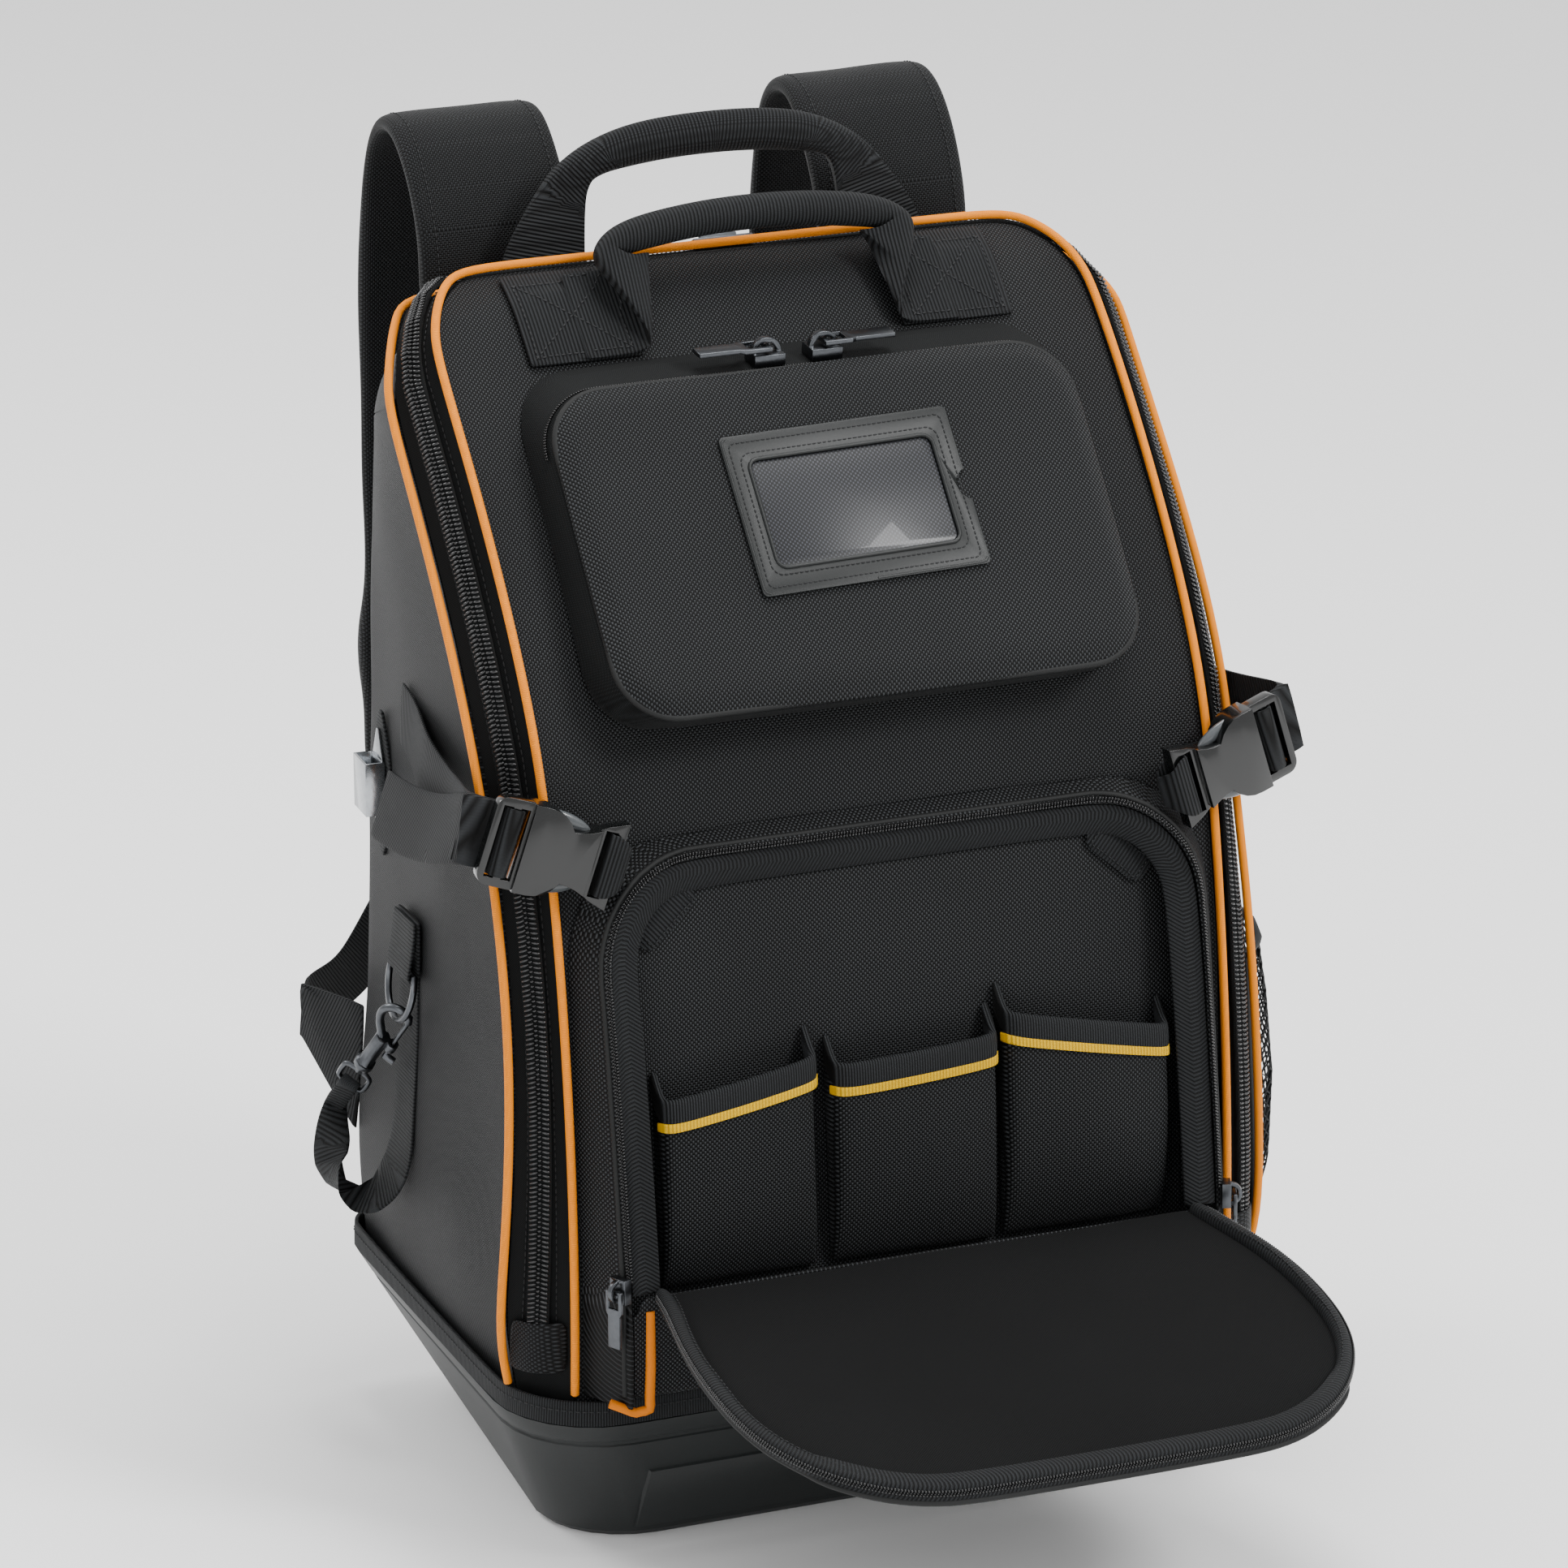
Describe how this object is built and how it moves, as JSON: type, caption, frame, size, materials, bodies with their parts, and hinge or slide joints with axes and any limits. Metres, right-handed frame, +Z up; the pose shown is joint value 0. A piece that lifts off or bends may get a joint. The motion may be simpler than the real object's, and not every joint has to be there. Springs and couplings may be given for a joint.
{
  "type": "tool backpack",
  "caption": "Tool backpack on a moulded base, with an open organiser and drop flap, a domed pocket, handles, shoulder straps, side buckles and a clip-on leash.",
  "frame": {"origin": "centre of the underside of the moulded base", "axes": "+Z up, -Y towards the front with the organiser, +X to the right of someone who looks at the front"},
  "size_m": [0.4193, 0.5158, 0.5775],
  "materials": {
    "woven_fabric": "coarse black ballistic weave, matt with light specks",
    "webbing": "ribbed black webbing and tape",
    "net": "fine black knitted net",
    "orange_piping": "woven orange piping",
    "yellow_trim": "ribbed yellow tape",
    "zip_coil": "black coil zip, satin",
    "moulded_base": "smooth moulded dark grey base, satin",
    "gloss_plastic": "glossy black moulded buckle",
    "dark_metal": "gunmetal plated zinc, polished",
    "bright_steel": "bent sheet steel",
    "vinyl": "smooth black vinyl",
    "clear_window": "clear film over dark weave"
  },
  "bodies": {
    "backpack": {"front_panel": "woven_fabric", "zip_gusset": "woven_fabric", "side_panel_left": "woven_fabric", "side_panel_right": "woven_fabric", "top_panel": "woven_fabric", "back_panel": "woven_fabric", "piping_front": "orange_piping", "piping_rear": "orange_piping", "main_zip": "zip_coil", "main_slider": "dark_metal", "base_tray": "moulded_base", "rim_binding": "webbing", "top_pocket_gusset": "woven_fabric", "top_pocket_face": "woven_fabric", "label_frame": "vinyl", "label_window": "clear_window", "organiser_gusset": "woven_fabric", "organiser_front": "woven_fabric", "organiser_flange": "webbing", "organiser_back": "woven_fabric", "tool_pocket_left": "woven_fabric", "pocket_trim_left": "yellow_trim", "tool_pocket_middle": "woven_fabric", "pocket_trim_middle": "yellow_trim", "tool_pocket_right": "woven_fabric", "pocket_trim_right": "yellow_trim", "flap_panel": "woven_fabric", "flap_rim": "webbing", "pocket_slider_left": "dark_metal", "pocket_slider_right": "dark_metal", "organiser_slider_left": "dark_metal", "organiser_slider_right": "dark_metal", "front_handle": "webbing", "haul_handle": "webbing", "shoulder_strap_left": "woven_fabric", "shoulder_strap_right": "woven_fabric", "strap_wing_left": "woven_fabric", "strap_wing_right": "woven_fabric", "side_strap_left": "webbing", "side_strap_right": "webbing", "buckle_left": "gloss_plastic", "buckle_right": "gloss_plastic", "buckle_webbing_left": "webbing", "buckle_webbing_right": "webbing", "leash": "webbing", "ring_tab": "webbing", "d_ring": "dark_metal", "hook_eye": "dark_metal", "clip_patch": "webbing", "tape_clip": "bright_steel", "mesh_pocket": "net"},
    "pocket_pull_left_body": {"pocket_pull_left": "dark_metal"},
    "pocket_pull_right_body": {"pocket_pull_right": "dark_metal"},
    "organiser_pull_left_body": {"organiser_pull_left": "dark_metal"},
    "organiser_pull_right_body": {"organiser_pull_right": "dark_metal"},
    "hook": {"snap_hook": "dark_metal"},
    "trigger": {"hook_trigger": "dark_metal"}
  },
  "joints": [
    {"name": "pocket_pull_left_swing", "type": "hinge", "parent": "backpack", "child": "pocket_pull_left_body", "pos_m": [-0.014, 0.00093, 0.4938], "axis": [0, 0.9925, 0.1219], "range_deg": [0, 155]},
    {"name": "pocket_pull_right_swing", "type": "hinge", "parent": "backpack", "child": "pocket_pull_right_body", "pos_m": [0.013, 0.00093, 0.4938], "axis": [0, -0.9925, -0.1219], "range_deg": [0, 155]},
    {"name": "organiser_pull_left_swing", "type": "hinge", "parent": "backpack", "child": "organiser_pull_left_body", "pos_m": [-0.14664, -0.13587, 0.127], "axis": [-0.3898, 0.9209, 0], "range_deg": [0, 155]},
    {"name": "organiser_pull_right_swing", "type": "hinge", "parent": "backpack", "child": "organiser_pull_right_body", "pos_m": [0.14664, -0.13587, 0.127], "axis": [-0.3898, -0.9209, 0], "range_deg": [0, 155]},
    {"name": "hook_swivel", "type": "hinge", "parent": "backpack", "child": "hook", "pos_m": [-0.18507, 0.0576, 0.17378], "axis": [0.123, -0.6942, 0.7092], "range_deg": [0, 32]},
    {"name": "trigger_slide", "type": "slide", "parent": "hook", "child": "trigger", "axis": [-0.123, 0.6942, -0.7092], "range_m": [0, 0.005], "stiffness_N_per_m": 200, "springref_m": -0.004}
  ]
}
